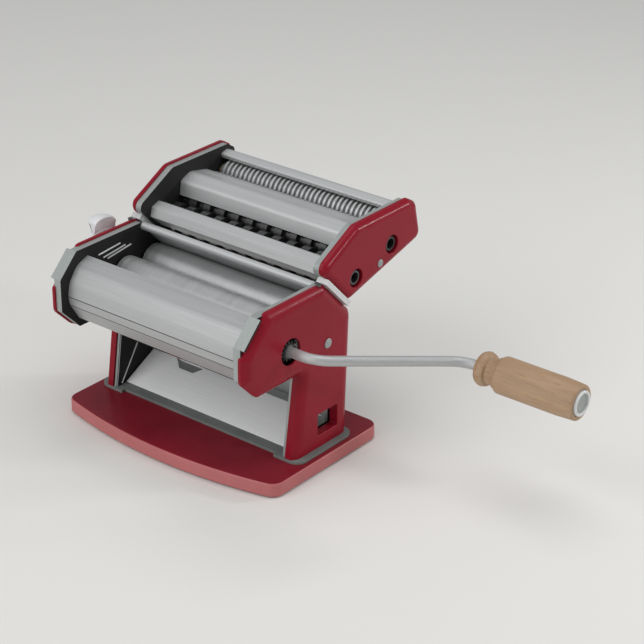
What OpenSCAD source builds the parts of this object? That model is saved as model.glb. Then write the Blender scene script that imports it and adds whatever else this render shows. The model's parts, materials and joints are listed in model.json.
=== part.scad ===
// Pasta roller machine: two smooth rollers in a red enamelled steel body, a hand crank with a
// wooden grip, a thickness dial, and a lift-off head with a wide and a narrow cutter pair.
// Frame: X runs along the rollers towards the crank, Y to the back, Z up. The origin lies on the
// table, under the middle of the legs. Outlines are drawn in the Y-Z plane and run along X.

/* [Body] */
// Length of the smooth rollers
roller_length = 151; // [140:1:160]
// Height of the top edge of the side frames
top_z = 129; // [127:0.5:131]
// Width of each red cover and the space under it, less the cover's own thickness
cavity_w = 9; // [9:0.25:10]
// Width of the flange that each side frame turns outwards
flange_w = 5.8; // [5.4:0.1:5.8]
// Thickness of the red covers
cover_t = 1.5; // [1.2:0.1:1.6]

/* [Base] */
// Half of the base plate's width
base_half_w = 96; // [94:1:104]
// Height of the base plate
base_h = 11; // [9:0.5:11]
// How far the front edge of the base bows forwards
base_bow = 13; // [8:1:16]

/* [Smooth rollers] */
// Radius of the smooth rollers
roller_r = 13; // [12.6:0.1:13]
// Gap between the rollers at the dial's thickest setting
widest_gap = 1.8; // [1.7:0.1:2]
// How far the dial moves the rear roller
roller_travel = 1.6; // [1:0.1:1.6]
// Turn of the dial from thickest to thinnest
dial_turn = 200; // [160:10:220]

/* [Crank] */
// Radius of the crank rod
rod_r = 3.5; // [3.3:0.05:3.5]
// Throw of the crank, from its axis to the grip's axis
crank_throw = 81; // [70:1:90]
// Angle of the crank arm from the crank's axis
arm_angle = 53; // [45:1:60]
// Radius of the wooden grip
grip_r = 12.7; // [11:0.1:14]

/* [Cutters] */
// Outside radius of the cutter discs
cutter_r = 10.25; // [9.8:0.05:10.3]
// Spacing of the wide cutter's discs on one roller
wide_pitch = 13; // [12:0.5:14]
// Spacing of the narrow cutter's discs on one roller
narrow_pitch = 4; // [4:0.25:5]

/* [Hidden] */

$fn = 64;
eps = 0.01;

// Colours
red = "#9b1524";
dark_red = "#7c1420";
steel = "#c9cccb";
dull_steel = "#9aa5a0";
dark_steel = "#5c6160";
brass = "#b8974c";
rubber_black = "#262626";
wood = "#cfa274";

// Places along X, for the right side; the left side mirrors them
web_in = 77;
web_t = 2;
web_out = web_in + web_t;
flange_out = web_in + flange_w;
flange_t = 1.6;
cavity_out = web_in + cavity_w;
cover_in = cavity_out + 0.1;
cover_out = cover_in + cover_t;
lip_in = web_in + 4.8;
lip_t = 1.2;
lip_gap = 0.1;
chamfer_flange_out = web_in + 2.6;
gear_in = web_out + 0.8;

// Side frame outline
leg_bottom_z = base_h + 2;
head_bottom_z = 73;
cover_bottom_z = 75.2;
nose_y = -77;
front_top_y = -61;
back_y = 29.3;
chamfer_angle = 46;
chamfer_top = [2, top_z];
chamfer_down = [cos(chamfer_angle), -sin(chamfer_angle)];
chamfer_out = [sin(chamfer_angle), cos(chamfer_angle)];
chamfer_length = (back_y - chamfer_top[0]) / chamfer_down[0];
chamfer_low = chamfer_top + chamfer_length * chamfer_down;
nose_top_z = top_z - 16;
nose_low_z = 89.5;
leg_top_front_y = -20;
leg_foot_front_y = -29;
leg_foot_back_y = 25.4;

// Axes of the turning parts, as [y, z]
front_axis = [-15.6, 97];
rear_axis = front_axis + [2 * roller_r + widest_gap, 0];
drive_teeth = 13;
front_teeth = 22;
drive_distance = (drive_teeth + front_teeth) / 2;
drive_slope = 3.6;
drive_axis = front_axis - drive_distance * [cos(drive_slope), sin(drive_slope)];
cutter_tilt = 16.3;
cutter_dir = [cos(cutter_tilt), sin(cutter_tilt)];
cutter_up = [-sin(cutter_tilt), cos(cutter_tilt)];
cutter_distance = 17.5;
pair_distance = 40;
wide_driven_axis = [34.1, 124.1];
wide_idle_axis = wide_driven_axis + cutter_distance * cutter_dir;
narrow_driven_axis = wide_driven_axis + pair_distance * cutter_dir;
narrow_idle_axis = narrow_driven_axis + cutter_distance * cutter_dir;

// Bearings and sockets
journal_r = 5;
running_fit = 0.05;
bush_r = 7;
barrel_r = 4.6;
inner_shaft_r = 3.2;
socket_r = rod_r + 0.1;
socket_end_x = 71;
tongue_x = 74;
tongue_w = 2;
block_half = 7;

// Gears
pressure_angle = 25;
spur_teeth = 18;
nearest_axes = 2 * roller_r + widest_gap - roller_travel;
spur_module = nearest_axes / spur_teeth;
spur_outer = nearest_axes / 2 + 1.15;
cutter_teeth = 14;
cutter_module = cutter_distance / cutter_teeth;

// Dial
scroll_r = 10.5;
dial_pin_r = 1.5;
dial_r = 27;
dial_in = 89.2;
dial_out = 102;

// Crank path, in the plane of the crank's axis and its arm
crank_tilt = -8.5;
bend_r = 22;
bend_start_x = 96;
arm_length = (crank_throw - 2 * bend_r * (1 - cos(arm_angle))) / sin(arm_angle);
arm_end_x = bend_start_x + 2 * bend_r * sin(arm_angle) + arm_length * cos(arm_angle);
grip_in = arm_end_x + 2;
grip_out = 257;

// Clamp hole in each leg, as y and z ranges
clamp_y = [-5.5, 15];
clamp_z = [22, 38];

// ---- Plane geometry ----

function unit(v) = v / norm(v);
function left_of(v) = [-v[1], v[0]];
function at_angle(a) = [cos(a), sin(a)];
function turn_angle(d1, d2) = atan2(d1[0] * d2[1] - d1[1] * d2[0], d1 * d2);
function mitre(n1, n2) = (n1 + n2) / (1 + n1 * n2);

// Range of values from below to above a middle value
function around(middle, below, above) = [middle - below, middle + above];
function centred(middle, half) = [middle - half, middle + half];

// Closed outline, counter-clockwise, moved inwards by d
function inset(p, d) = [
    for (i = [0 : len(p) - 1])
        let (before = p[(i + len(p) - 1) % len(p)], after = p[(i + 1) % len(p)])
        p[i] + d * mitre(left_of(unit(p[i] - before)), left_of(unit(after - p[i])))
];

// Points of the arc of radius r that rounds the corner b between a and c
function corner_arc(a, b, c, r, steps) =
    let (
        d1 = unit(b - a),
        d2 = unit(c - b),
        turn = turn_angle(d1, d2),
        side = turn > 0 ? 1 : -1,
        centre = b + side * r * mitre(left_of(d1), left_of(d2)),
        start = atan2(left_of(d1)[1], left_of(d1)[0])
    )
    [for (k = [0 : steps]) centre - side * r * at_angle(start + turn * k / steps)];

// Closed outline with corner i rounded to radius r[i], or left sharp at 0
function rounded(p, r, steps = 6) = [
    for (i = [0 : len(p) - 1])
        let (before = p[(i + len(p) - 1) % len(p)], after = p[(i + 1) % len(p)])
        each r[i] > 0 ? corner_arc(before, p[i], after, r[i], steps) : [p[i]]
];

// Open path with its inner corners rounded to radius r[i]
function rounded_path(p, r, steps = 6) = [
    for (i = [0 : len(p) - 1])
        each i > 0 && i < len(p) - 1 && r[i] > 0
            ? corner_arc(p[i - 1], p[i], p[i + 1], r[i], steps)
            : [p[i]]
];

// Outline of a sheet of thickness t that lies to the left of an open path
function sheet(p, t) =
    let (last = len(p) - 1)
    concat(p, [
        for (i = [last : -1 : 0])
            let (
                n1 = left_of(unit(p[max(i, 1)] - p[max(i, 1) - 1])),
                n2 = left_of(unit(p[min(i, last - 1) + 1] - p[min(i, last - 1)]))
            )
            p[i] + t * mitre(n1, n2)
    ]);

// Point at distance s down the rear chamfer and n above it
function on_chamfer(s, n) = chamfer_top + s * chamfer_down + n * chamfer_out;

// Point in the cutter head, a along its row of rollers and b above it
function in_head(a, b) = wide_driven_axis + a * cutter_dir + b * cutter_up;

// ---- Helpers ----

// Extrudes a Y-Z drawing along X
module along_x(x0, x1) {
    translate([x0, 0, 0]) rotate([90, 0, 90]) linear_extrude(x1 - x0) children();
}

module plate(outline, x0, x1) {
    along_x(x0, x1) polygon(outline);
}

// Round bar along X about the axis [y, z]
module bar(axis, r, x0, x1) {
    translate([x0, axis[0], axis[1]]) rotate([0, 90, 0]) cylinder(r = r, h = x1 - x0);
}

// Box from x, y and z ranges
module block(x, y, z) {
    translate([x[0], y[0], z[0]]) cube([x[1] - x[0], y[1] - y[0], z[1] - z[0]]);
}

module both_sides() {
    children();
    mirror([1, 0, 0]) children();
}

function involute(a) = tan(a) * 180 / PI - a;

// Half angle of a gear tooth at radius r; thin is taken off each flank at the pitch circle
function half_tooth(r, teeth, pitch_r, thin) =
    let (base_r = pitch_r * cos(pressure_angle))
    90 / teeth + involute(pressure_angle)
        - involute(acos(min(1, base_r / r))) - thin / pitch_r * 180 / PI;

function gear_outline(teeth, modul, outer, root, thin, phase) =
    let (
        pitch_r = teeth * modul / 2,
        flank_r = max(root, pitch_r * cos(pressure_angle)),
        steps = 4,
        radii = [for (k = [0 : steps]) flank_r + (outer - flank_r) * k / steps],
        half = [for (r = radii) half_tooth(r, teeth, pitch_r, thin)]
    )
    [
        for (i = [0 : teeth - 1])
            let (mid = phase + 360 * i / teeth)
            each concat(
                [root * at_angle(mid - half[0] - 1)],
                [for (k = [0 : steps]) radii[k] * at_angle(mid - half[k])],
                [for (k = [steps : -1 : 0]) radii[k] * at_angle(mid + half[k])],
                [root * at_angle(mid + half[0] + 1)]
            )
    ];

module gear(axis, teeth, modul, outer, root, thin, phase, x0, x1, bore) {
    difference() {
        translate([0, axis[0], axis[1]])
            plate(gear_outline(teeth, modul, outer, root, thin, phase), x0, x1);
        bar(axis, bore, x0 - 1, x1 + 1);
    }
}

// ---- Base ----

base_back_y = 51.5;
base_corner_y = -58.5;
base_wall = 2;
bow_r = (base_half_w * base_half_w + base_bow * base_bow) / (2 * base_bow);
bow_steps = 16;
bow_points = [
    for (k = [0 : bow_steps])
        let (x = base_half_w * (2 * k / bow_steps - 1))
        [x, base_corner_y - base_bow + bow_r - sqrt(bow_r * bow_r - x * x)]
];
base_corners = concat(bow_points, [[base_half_w, base_back_y], [-base_half_w, base_back_y]]);
base_radii = [for (i = [0 : bow_steps + 2]) i == 0 || i >= bow_steps ? 8 : 0];
rim_z = 1;

module base_plate() {
    color(dark_red)
    difference() {
        translate([0, 0, rim_z]) linear_extrude(base_h - rim_z)
            polygon(rounded(base_corners, base_radii));
        translate([0, 0, rim_z - 1]) linear_extrude(base_h - rim_z - base_wall + 1)
            polygon(rounded(inset(base_corners, base_wall), 0.75 * base_radii));
    }
}

foot_x = 80;
foot_y = [-44, 38];
foot_r = 9;

module rubber_feet() {
    color(rubber_black)
    for (x = [-foot_x, foot_x], y = foot_y)
        translate([x, y, 0]) {
            cylinder(r = foot_r, h = base_h - base_wall - eps);
        }
}

gasket_x = 92;
gasket_y = [-31, 28.5];
gasket_front_y = -27.5;
gasket_back_y = 42;
gasket_leg_x = 70;

module foot_gasket() {
    outline = [
        [-gasket_x, gasket_y[0]], [-gasket_leg_x, gasket_y[0]], [-gasket_leg_x, gasket_front_y],
        [gasket_leg_x, gasket_front_y], [gasket_leg_x, gasket_y[0]], [gasket_x, gasket_y[0]],
        [gasket_x, gasket_y[1]], [gasket_leg_x, gasket_y[1]], [gasket_leg_x, gasket_back_y],
        [-gasket_leg_x, gasket_back_y], [-gasket_leg_x, gasket_y[1]], [-gasket_x, gasket_y[1]]
    ];
    color(dull_steel)
    translate([0, 0, base_h]) linear_extrude(leg_bottom_z - base_h)
        polygon(rounded(outline, [8, 0, 0, 0, 0, 8, 8, 0, 4, 4, 0, 8]));
}

// ---- Side frames ----

side_outline = [
    [front_top_y, head_bottom_z], [leg_top_front_y, head_bottom_z],
    [leg_foot_front_y, leg_bottom_z], [leg_foot_back_y, leg_bottom_z],
    chamfer_low, chamfer_top, [front_top_y, top_z],
    [nose_y, nose_top_z], [nose_y, nose_low_z]
];

// Path of the wide flange, from the top of the rear chamfer forwards and down to the cover's underside
nose_under = side_outline[8] + (side_outline[0] - side_outline[8])
    * (nose_low_z - cover_bottom_z) / (nose_low_z - head_bottom_z);
wide_flange = [chamfer_top, side_outline[6], side_outline[7], side_outline[8], nose_under];

// Reinforcing plate on the inner face of each leg, along its front edge
gusset = [
    [leg_foot_front_y + 0.5, leg_bottom_z], [leg_foot_front_y + 4.7, leg_bottom_z],
    [8, 66.5], [8, head_bottom_z], [leg_top_front_y + 0.5, head_bottom_z]
];

module clamp_hole() {
    block([web_in - 2, cover_out + 2], clamp_y, clamp_z);
}

module rear_slot() {
    block(
        [web_in - 1, web_out + 1],
        around(rear_axis[0], block_half + roller_travel + 0.2, block_half + 0.2),
        centred(rear_axis[1], block_half + 0.1)
    );
}

module side_frame(drive_bush_r) {
    difference() {
        union() {
            plate(side_outline, web_in, web_out);
            plate(gusset, web_in - 0.8, web_in + eps);
            plate(sheet(wide_flange, flange_t), web_in, flange_out);
            plate(sheet([side_outline[6], side_outline[7]], flange_t), web_in, cavity_out);
            plate(sheet([chamfer_low, chamfer_top], flange_t), web_in, chamfer_flange_out);
            plate(sheet([side_outline[3], chamfer_low], flange_t), web_in, flange_out);
        }
        rear_slot();
        bar(front_axis, bush_r, web_in - 1, web_out + 1);
        bar(drive_axis, drive_bush_r, web_in - 1, web_out + 1);
    }
}

drive_bush_right_r = 6.3;
drive_bush_left_r = 5;

module right_side_frame() {
    color(dull_steel)
    difference() {
        side_frame(drive_bush_right_r);
        clamp_hole();
    }
}

module left_side_frame() {
    color(dull_steel) mirror([1, 0, 0]) side_frame(drive_bush_left_r);
}

// ---- Red covers of the body ----

cover_outline = [
    [front_top_y - 2, cover_bottom_z], [leg_top_front_y + 0.3, cover_bottom_z],
    [leg_foot_front_y, leg_bottom_z], [leg_foot_back_y, leg_bottom_z],
    chamfer_low, chamfer_top, [front_top_y, top_z],
    [nose_y, nose_top_z], [nose_y, nose_low_z]
];
cover_radii = [4, 0, 0, 0, 6, 4, 3, 3, 5];
// Share of its outer radius that a corner of a cover has inside
inner_sharpness = 0.4;
notch_depth = 4;

// Cuts the lip and a strip of the face away along the upper front chamfer
module cover_notch() {
    corner = [front_top_y, top_z];
    translate([lip_in - 1, corner[0], corner[1]]) rotate([45, 0, 0])
        translate([0, -(top_z - nose_top_z) * sqrt(2), -notch_depth])
            cube([cavity_w + 4, (top_z - nose_top_z) * sqrt(2) - 2, notch_depth + 10]);
}

module side_cover(bore_axis, bore, rivet_at) {
    difference() {
        union() {
            difference() {
                plate(rounded(inset(cover_outline, -lip_gap - lip_t), cover_radii), lip_in, cover_out);
                plate(rounded(inset(cover_outline, -lip_gap), inner_sharpness * cover_radii),
                    lip_in - 1, cover_in);
            }
            plate(
                sheet([cover_outline[1] - [36, 0], cover_outline[1], cover_outline[2]], -lip_t),
                web_out + 0.2, lip_in + 1
            );
        }
        block([lip_in - 4, cover_out + 1], [-90, 60], [0, leg_bottom_z + 0.05]);
        cover_notch();
        bar(bore_axis, bore, cover_in - 1, cover_out + 1);
        bar(rivet_at, rivet_shank_r, cover_in - 1, cover_out + 1);
    }
}

crank_hole_r = 9.3;
spindle_r = 4;
right_rivet_at = [4.3, 87.8];
// The left cover's rivet is clear of the index plate
left_rivet_at = [4, 55];
rivet_length = 1.4;
rivet_collar = 1;
rivet_r = 3.5;
rivet_shank_r = 2;

module right_cover() {
    color(red)
    difference() {
        side_cover(drive_axis, crank_hole_r, right_rivet_at);
        clamp_hole();
    }
}

module left_cover() {
    color(red)
    mirror([1, 0, 0])
        side_cover(front_axis, spindle_r + running_fit, left_rivet_at);
}

// Rivet head on a cover's face, with a short shank and a collar behind the face
module cover_rivet(at, head_r, head_h, shank_r) {
    bar(at, head_r, cover_out, cover_out + head_h);
    bar(at, shank_r, cover_in - rivet_length, cover_out);
    bar(at, shank_r + rivet_collar, cover_in - rivet_length, cover_in);
}

module cover_rivets() {
    color(steel) {
        cover_rivet(right_rivet_at, rivet_r, 0.8, rivet_shank_r);
        mirror([1, 0, 0]) cover_rivet(left_rivet_at, rivet_r, 0.8, rivet_shank_r);
    }
}

// ---- Guards, tray and rods between the side frames ----

guard_t = 1.2;
guard_path = rounded_path(
    [[-50.7, 122.7], [-62, 118.5], [-69.3, 107.5], [-70.6, 98.9], [-69.3, 92.1], [-61.7, 79.8],
     [-55.5, 77.5]],
    [0, 13, 13, 0, 0, 0, 0]
);

module front_guard() {
    color(steel) plate(sheet(guard_path, guard_t), -web_in, web_in);
}

bead_r = 2.9;
bead_at = [4, top_z - 3];

module rear_guard() {
    path = [[25, 24], [26.5, 72], [28.2, 76], chamfer_low - [0.7, 0.5], on_chamfer(4, 0)];
    color(steel)
    union() {
        plate(sheet(path, 1), -web_in, web_in);
        bar(bead_at, bead_r, -web_in, web_in);
    }
}

tray_low = [-19.2, leg_bottom_z];
tray_high = [9, 27.5];

module outfeed_tray() {
    notch = [[-54.4, 10], [-46, 3], [-33, 3], [-26, 10]];
    tray_x = web_in - 0.8;
    color(steel)
    difference() {
        plate(sheet([tray_low, tray_high, tray_high + [3, -2]], 1), -tray_x, tray_x);
        translate([0, 0, 20]) linear_extrude(20) polygon(notch);
    }
}

tie_rod_r = 3;
tie_rods_at = [[-58, 101], [-44, 80], [20.5, 52], [20.5, 68]];

module tie_rods() {
    color(dark_steel)
    for (p = tie_rods_at) {
        bar(p, tie_rod_r, -web_in, web_in);
    }
}

module front_scraper() {
    color(steel)
    plate(sheet([[-24.6, 86.4], [-32, 80.2], [-32, 76]], 0.8), -web_in, web_in);
}

module rear_scraper() {
    color(steel)
    plate(sheet([[25.4, 76], [25.4, 80.2], [21.2, 86]], 0.8), -web_in, web_in);
}

// ---- Rails for the cutter head ----

rail_start = 1;
rail_end = 32;
rail_x = [80.5, 86.5];
rail_foot_x = [82.4, 84.6];
rail_base = lip_gap + lip_t;
rail_neck = 2.6;
rail_top = 4;

module chamfer_strip(s, n, x) {
    plate(
        [on_chamfer(s[0], n[0]), on_chamfer(s[1], n[0]), on_chamfer(s[1], n[1]),
         on_chamfer(s[0], n[1])],
        x[0], x[1]
    );
}

module rail() {
    chamfer_strip([rail_start, rail_end], [rail_base, rail_neck], rail_foot_x);
    chamfer_strip([rail_start, rail_end], [rail_neck, rail_top], rail_x);
}

module right_rail() {
    color(steel) union() rail();
}

module left_rail() {
    color(steel) mirror([1, 0, 0]) union() rail();
}

// Screws in the head's top corners that hold each rail's cover lip to the flange
module rail_screws() {
    color(dark_steel)
    both_sides() {
        translate([web_in + 7.2, chamfer_top[0] - 3.2, top_z + lip_gap + lip_t])
            cylinder(r = 1.7, h = 1.2);
    }
}

// ---- Bearings ----

module front_bushes() {
    color(brass)
    both_sides()
        difference() {
            bar(front_axis, bush_r, web_in, web_out + 0.4);
            bar(front_axis, journal_r + running_fit, web_in - 1, web_out + 3);
        }
}

module drive_bushes() {
    color(brass) {
        difference() {
            bar(drive_axis, drive_bush_right_r, web_in, web_out);
            bar(drive_axis, barrel_r + running_fit, web_in - 1, web_out + 1);
        }
        difference() {
            bar(drive_axis, drive_bush_left_r, -web_out, -web_in);
            bar(drive_axis, inner_shaft_r + running_fit, -web_out - 1, -web_in + 1);
        }
    }
}

// ---- Drive shaft and crank ----

drive_gear_x = [gear_in + 0.2, cavity_out - 0.4];
drive_left_x = -web_out - 0.4;
neck_end_x = roller_length / 2 + 0.7;
neck_r = 4.2;

module drive_shaft() {
    color(dark_steel)
    difference() {
        union() {
            bar(drive_axis, barrel_r, neck_end_x, cavity_out + 0.2);
            bar(drive_axis, neck_r, socket_end_x - 3, neck_end_x + eps);
            bar(drive_axis, inner_shaft_r, drive_left_x, socket_end_x - 3 + eps);
        }
        difference() {
            bar(drive_axis, socket_r, socket_end_x, cavity_out + 2);
            block([socket_end_x, tongue_x], centred(drive_axis[0], tongue_w / 2),
                centred(drive_axis[1], 6));
        }
    }
}

module drive_pinion() {
    color(dull_steel)
    gear(drive_axis, drive_teeth, 1, 7.4, 5.25, 0.16, drive_slope, drive_gear_x[0], drive_gear_x[1],
        barrel_r);
}

// Keeps the shaft from sliding out through its left bush
module drive_circlip() {
    clip_x = [-web_in + 0.2, -web_in + 1.1];
    color(dark_steel)
    difference() {
        bar(drive_axis, inner_shaft_r + 1.6, clip_x[0], clip_x[1]);
        bar(drive_axis, inner_shaft_r, clip_x[0] - 1, clip_x[1] + 1);
        block(clip_x + [-1, 1], centred(drive_axis[0], 1), centred(drive_axis[1] + 4, 2));
    }
}

// Moves children into the crank's plane: their X stays, their Y runs along the crank's throw
module crank_plane() {
    translate([0, drive_axis[0], drive_axis[1]]) rotate([crank_tilt, 0, 0]) children();
}

// Bend of the crank rod about a point of the crank's plane
module rod_bend(centre, start_angle) {
    translate([centre[0], centre[1], 0]) rotate([0, 0, start_angle])
        rotate_extrude(angle = arm_angle) translate([bend_r, 0]) circle(r = rod_r);
}

module crank_rod() {
    first_end = [bend_start_x + bend_r * sin(arm_angle), bend_r * (1 - cos(arm_angle))];
    rod_start_x = tongue_x - 2.6;
    color(steel)
    difference() {
        crank_plane() {
            translate([rod_start_x, 0, 0]) rotate([0, 90, 0])
                cylinder(r = rod_r, h = bend_start_x - rod_start_x + eps);
            rod_bend([bend_start_x, bend_r], -90);
            translate([first_end[0], first_end[1], 0]) rotate([0, 90, arm_angle])
                cylinder(r = rod_r, h = arm_length);
            rod_bend([arm_end_x, crank_throw - bend_r], 90);
            translate([arm_end_x - eps, crank_throw, 0]) rotate([0, 90, 0])
                cylinder(r = rod_r, h = grip_out - 8 - arm_end_x);
        }
        block([rod_start_x - 1, tongue_x + 0.4], centred(drive_axis[0], tongue_w / 2 + 0.15),
            centred(drive_axis[1], 6));
    }
}

module crank_rivet() {
    color(dark_steel)
    crank_plane() translate([grip_out - 8, crank_throw, 0]) rotate([0, 90, 0])
        cylinder(r = rod_r + 2.2, h = 1.6);
}

grip_neck_x = grip_in + 8;
grip_body_x = grip_in + 14;

module grip() {
    outline = rounded(
        [[grip_in, socket_r], [grip_out, socket_r], [grip_out, grip_r - 0.6],
         [grip_out - 12, grip_r], [grip_body_x, grip_r], [grip_body_x - 1, 9.6],
         [grip_neck_x, 9], [grip_neck_x - 1.5, 11.6], [grip_in, 11]],
        [0, 0, 2, 20, 3, 1.5, 1, 2, 2], 4
    );
    color(wood)
    crank_plane() translate([0, crank_throw, 0]) rotate([0, 90, 0]) difference() {
        rotate_extrude() polygon([for (p = outline) [p[1], p[0]]]);
        translate([0, 0, grip_out - 9]) cylinder(r = rod_r + 2.6, h = 10);
    }
}

module grip_end_cap() {
    color(dull_steel)
    crank_plane() translate([grip_out, crank_throw, 0]) rotate([0, 90, 0]) {
        cylinder(r = 8.6, h = 1.6);
    }
}

// ---- Smooth rollers and their gears ----

spur_x = [-83.0, -79.9 + 0.1];
link_x = [-84.6, -83.2];

module smooth_roller(axis, left_end, right_end) {
    bar(axis, roller_r, -roller_length / 2, roller_length / 2);
    bar(axis, journal_r, left_end, right_end);
}

module front_roller() {
    color(steel) union() smooth_roller(front_axis, spur_x[0], cavity_out - 0.2);
}

module rear_roller() {
    color(steel) union() smooth_roller(rear_axis, link_x[0] - 0.2, web_out + 1.4);
}

module front_drive_gear() {
    phase = drive_slope + 180 + 180 / front_teeth;
    color(dull_steel)
    gear(front_axis, front_teeth, 1, 11.6, 9.8, 0.16, phase, drive_gear_x[0], drive_gear_x[1],
        journal_r);
}

module spur_gear(axis, phase) {
    color(brass)
    gear(axis, spur_teeth, spur_module, spur_outer, nearest_axes - spur_outer - 0.25, 0.22, phase,
        spur_x[0], spur_x[1], journal_r);
}

module front_spur_gear() {
    spur_gear(front_axis, 0);
}

module rear_spur_gear() {
    spur_gear(rear_axis, 180 + 180 / spur_teeth);
}

module rear_blocks() {
    color(brass)
    both_sides()
        difference() {
            union() {
                block([web_in - 0.2, web_out + 0.5], centred(rear_axis[0], block_half),
                    centred(rear_axis[1], block_half));
                block([web_in - 1, web_in - 0.2], centred(rear_axis[0], block_half),
                    centred(rear_axis[1], block_half + 2));
            }
            bar(rear_axis, journal_r + running_fit, web_in - 2, web_out + 1);
        }
}

stud_at = [-42, front_axis[1]];
stud_r = 2.5;

// Carries the rear roller; its pin follows the scroll of the dial's spindle
module link_plate() {
    outline = [
        [stud_at[0] - 7, 90], [rear_axis[0] + 8, 90], [rear_axis[0] + 8, 104],
        [stud_at[0] - 7, 104]
    ];
    color(dull_steel)
    union() {
        difference() {
            plate(rounded(outline, [4, 6, 6, 4]), link_x[0], link_x[1]);
            bar(rear_axis, journal_r + running_fit, link_x[0] - 1, link_x[1] + 1);
            block(link_x + [-1, 1], around(stud_at[0], stud_r + 0.3, stud_r + roller_travel + 0.3),
                centred(stud_at[1], stud_r + 0.1));
        }
        bar(front_axis + [scroll_r, 0], dial_pin_r, link_x[0] - 1.3, link_x[0] + eps);
    }
}

module link_stud() {
    color(dark_steel)
    bar(stud_at, stud_r, -cavity_out + 0.4, -web_out);
}

// ---- Thickness dial ----

scroll_disc_x = [-cavity_out, -84.8];
scroll_steps = 20;

function scroll_point(angle, out) =
    (scroll_r - roller_travel * angle / dial_turn + out) * at_angle(angle);

module dial_spindle() {
    half = dial_pin_r + 0.15;
    ends = [-11, dial_turn + 13];
    angles = [for (k = [0 : scroll_steps]) ends[0] + (ends[1] - ends[0]) * k / scroll_steps];
    slot = concat(
        [for (a = angles) scroll_point(a, half)],
        [for (k = [scroll_steps : -1 : 0]) scroll_point(angles[k], -half)]
    );
    color(dark_steel)
    difference() {
        union() {
            bar(front_axis, 13.5, scroll_disc_x[0], scroll_disc_x[1]);
            bar(front_axis, spindle_r, -dial_out + 3, scroll_disc_x[0] + eps);
        }
        translate([0, front_axis[0], front_axis[1]])
            plate(slot, scroll_disc_x[0] - 1, scroll_disc_x[1] + 1);
    }
}

setting_count = 9;
dimple_r = 1;

// Index plate with one dimple for each thickness
module dial_plate() {
    plate_r = 21;
    color(steel)
    difference() {
        bar(front_axis, plate_r, -cover_out - 0.9, -cover_out);
        bar(front_axis, spindle_r + 0.3, -cover_out - 2, -cover_out + 1);
        for (k = [0 : setting_count - 1])
            bar(front_axis + (plate_r - 3) * at_angle(90 + k * dial_turn / (setting_count - 1)),
                dimple_r, -cover_out - 2, -cover_out - 0.5);
    }
}

tab_angle = 84;

module dial_knob() {
    color(steel)
    translate([0, front_axis[0], front_axis[1]])
    difference() {
        union() {
            bar([0, 0], dial_r, -dial_out, -dial_out + 5);
            bar([0, 0], dial_r - 5, -dial_out + 5 - eps, -dial_in);
            rotate([tab_angle, 0, 0]) {
                block([-dial_out, -dial_out + 4], [dial_r - 3, 33], [-8.5, 8.5]);
                block([-dial_out - 5, -dial_out + 5], [31, 35.5], [-10, 10]);
            }
        }
        bar([0, 0], spindle_r, -dial_out - 1, -dial_in + 1);
        bar([0, 0], dial_r - 3, -dial_out - 1, -dial_out + 1.6);
    }
}

module dial_screw() {
    color(dark_steel)
    bar(front_axis, spindle_r + 1.5, -dial_out + 1.6 - 1.4, -dial_out + 1.6);
}

// ---- Cutter head: side frames, covers, shoes ----

head_gap = 5.2;
shoe_end = 31;
head_outline = [
    on_chamfer(shoe_end, head_gap), [105.2, 131], [99.8, 155.5], [92.6, 159.9], [35, 159.6],
    [-0.5, 140.5], on_chamfer(-2.5, head_gap)
];
head_radii = [5, 5, 3, 3, 7, 5, 4];

module head_frame(driven_hole) {
    outline = rounded(head_outline, head_radii);
    difference() {
        plate(outline, web_in, flange_out);
        plate(rounded(inset(head_outline, flange_t), 0.8 * head_radii), web_out, flange_out + 1);
        for (a = [0, cutter_distance, pair_distance, pair_distance + cutter_distance])
            bar(in_head(a, 0), driven_hole, web_in - 1, web_out + 1);
    }
}

cutter_bush_r = 6.5;
socket_hole_r = 6.5;
head_rivet_at = in_head(24.8, -5.2);
head_rivet_r = 2.8;
head_rivet_shank_r = 1.5;

module cutter_right_frame() {
    color(dull_steel) head_frame(cutter_bush_r);
}

module cutter_left_frame() {
    color(dull_steel) mirror([1, 0, 0]) head_frame(cutter_bush_r);
}

module head_cover(open_holes) {
    outer = rounded(inset(head_outline, -lip_gap - lip_t), head_radii);
    inner = rounded(inset(head_outline, -lip_gap), head_radii);
    difference() {
        plate(outer, lip_in, cover_out);
        plate(inner, lip_in - 1, cover_in);
        plate(
            [on_chamfer(-4, 0), on_chamfer(shoe_end + 3, 0), on_chamfer(shoe_end + 3, head_gap),
             on_chamfer(-4, head_gap)],
            lip_in - 1, cover_out + 1
        );
        bar(head_rivet_at, head_rivet_shank_r, cover_in - 1, cover_out + 1);
        if (open_holes)
            for (a = [0, pair_distance])
                bar(in_head(a, 0), socket_hole_r, cover_in - 1, cover_out + 1);
    }
}

module cutter_right_cover() {
    color(red) head_cover(true);
}

module cutter_left_cover() {
    color(red) mirror([1, 0, 0]) head_cover(false);
}

module cutter_rivets() {
    color(steel) both_sides() cover_rivet(head_rivet_at, head_rivet_r, 0.7, head_rivet_shank_r);
}

shoe_x = [79.1, 87.6];
shoe_low = 1.5;
shoe_fit = 0.2;

module rail_shoes() {
    color(steel)
    both_sides()
        difference() {
            chamfer_strip([-1, shoe_end + 1.5], [shoe_low, head_gap], shoe_x);
            chamfer_strip([rail_start - shoe_fit, shoe_end + 3],
                [rail_neck - shoe_fit, rail_top + shoe_fit],
                rail_x + [-shoe_fit, shoe_fit]);
            chamfer_strip([rail_start - shoe_fit, shoe_end + 3], [0, rail_neck],
                rail_foot_x + [-shoe_fit, shoe_fit]);
        }
}

// ---- Cutter head: sheet covers, combs, rods ----

module cutter_front_cover() {
    path = [[22, 120.5], [11.2, 130.5], [13, 137.2], [20, 139.6], [27.6, 135.6]];
    color(steel)
    plate(sheet([for (i = [4 : -1 : 0]) path[i]], 1), -web_in, web_in);
}

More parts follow.
